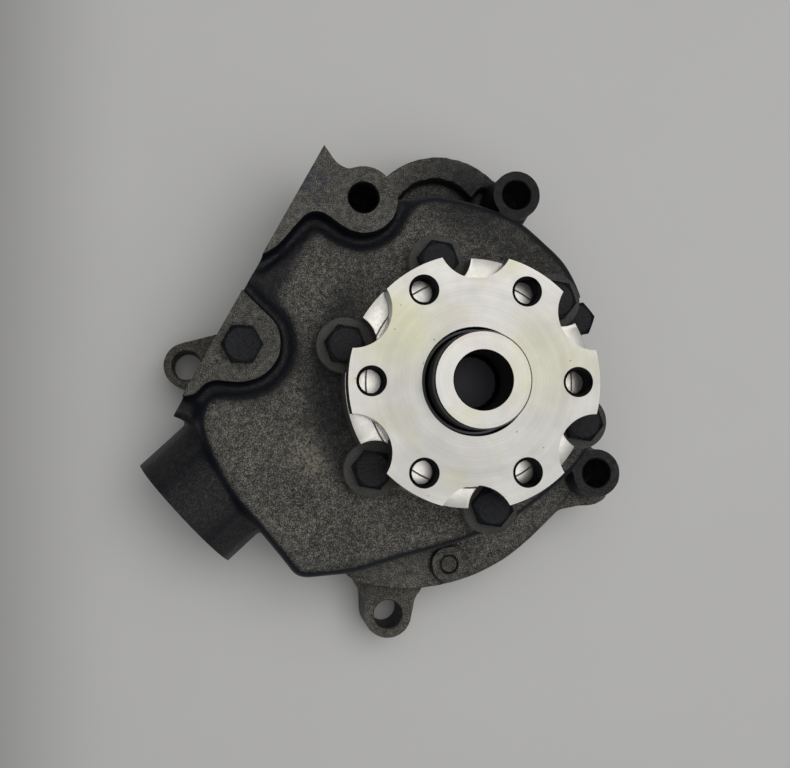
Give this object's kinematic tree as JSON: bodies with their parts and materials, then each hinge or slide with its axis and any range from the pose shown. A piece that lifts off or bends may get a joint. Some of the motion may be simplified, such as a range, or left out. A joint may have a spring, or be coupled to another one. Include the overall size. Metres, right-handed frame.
{
  "type": "engine coolant pump",
  "caption": "Heavy-duty engine coolant pump: cast volute casing and rear housing, bolted bearing housing, scalloped drive hub on a through shaft, impeller, hose stub and mounting tubes.",
  "frame": {"origin": "centre of the pump's bounding box at the level of the engine face, z = 0; the shaft's axis stands at x = 32.76 mm, y = 4.80 mm", "axes": "+Z along the shaft, from the engine face to the drive hub; seen from the hub with +X to the right, +Y is up and the hose stub points down and to the left"},
  "size_m": [0.2218, 0.2304, 0.12],
  "materials": {
    "cast_iron": "as-cast grey iron, dusty, machined on its faces",
    "turned_steel": "turned, fine concentric tool marks",
    "ground_steel": "ground bearing steel",
    "black_steel": "black oxide",
    "impeller_iron": "as cast",
    "rubber": "moulded nitrile",
    "gasket_sheet": "fibre sheet",
    "carbon": "lapped carbon",
    "seal_ceramic": "lapped ceramic",
    "brass": "machined brass"
  },
  "bodies": {
    "pump_housing": {"volute_casing": "cast_iron", "rear_housing": "cast_iron", "housing_gasket": "gasket_sheet", "dowel_pin": "ground_steel", "bearing_housing": "cast_iron", "bearing_housing_o_ring": "rubber", "engine_port_o_ring": "rubber", "bearing_housing_bolt_1": "black_steel", "bearing_housing_bolt_2": "black_steel", "bearing_housing_bolt_3": "black_steel", "bearing_housing_bolt_4": "black_steel", "bearing_housing_bolt_5": "black_steel", "bearing_housing_bolt_6": "black_steel", "side_lug_bolt": "black_steel", "casing_bolt": "black_steel", "front_bearing_outer_ring": "ground_steel", "rear_bearing_outer_ring": "ground_steel", "bearing_retaining_ring": "black_steel", "front_dust_seal": "rubber", "seal_body": "ground_steel", "seal_spring": "ground_steel", "seal_carbon_ring": "carbon"},
    "rotor": {"drive_hub": "turned_steel", "pump_shaft": "ground_steel", "front_bearing_inner_ring": "ground_steel", "rear_bearing_inner_ring": "ground_steel", "bearing_spacer": "ground_steel", "seal_seat_ring": "seal_ceramic", "impeller": "impeller_iron"},
    "front_ball_set": {"front_bearing_ball_cage": "ground_steel"},
    "rear_roller_set": {"rear_bearing_roller_cage": "brass"}
  },
  "joints": [
    {"name": "shaft_spin", "type": "hinge", "parent": "pump_housing", "child": "rotor", "pos_m": [0.03276, 0.0048, 0.06], "axis": [0, 0, 1], "continuous": true},
    {"name": "front_cage_spin", "type": "hinge", "parent": "pump_housing", "child": "front_ball_set", "pos_m": [0.03276, 0.0048, 0.0678], "axis": [0, 0, 1], "continuous": true},
    {"name": "rear_cage_spin", "type": "hinge", "parent": "pump_housing", "child": "rear_roller_set", "pos_m": [0.03276, 0.0048, 0.0484], "axis": [0, 0, 1], "continuous": true}
  ],
  "couplings": [
    {"joint": "front_cage_spin", "follows": "shaft_spin", "ratio": 0.3866},
    {"joint": "rear_cage_spin", "follows": "shaft_spin", "ratio": 0.4332}
  ]
}
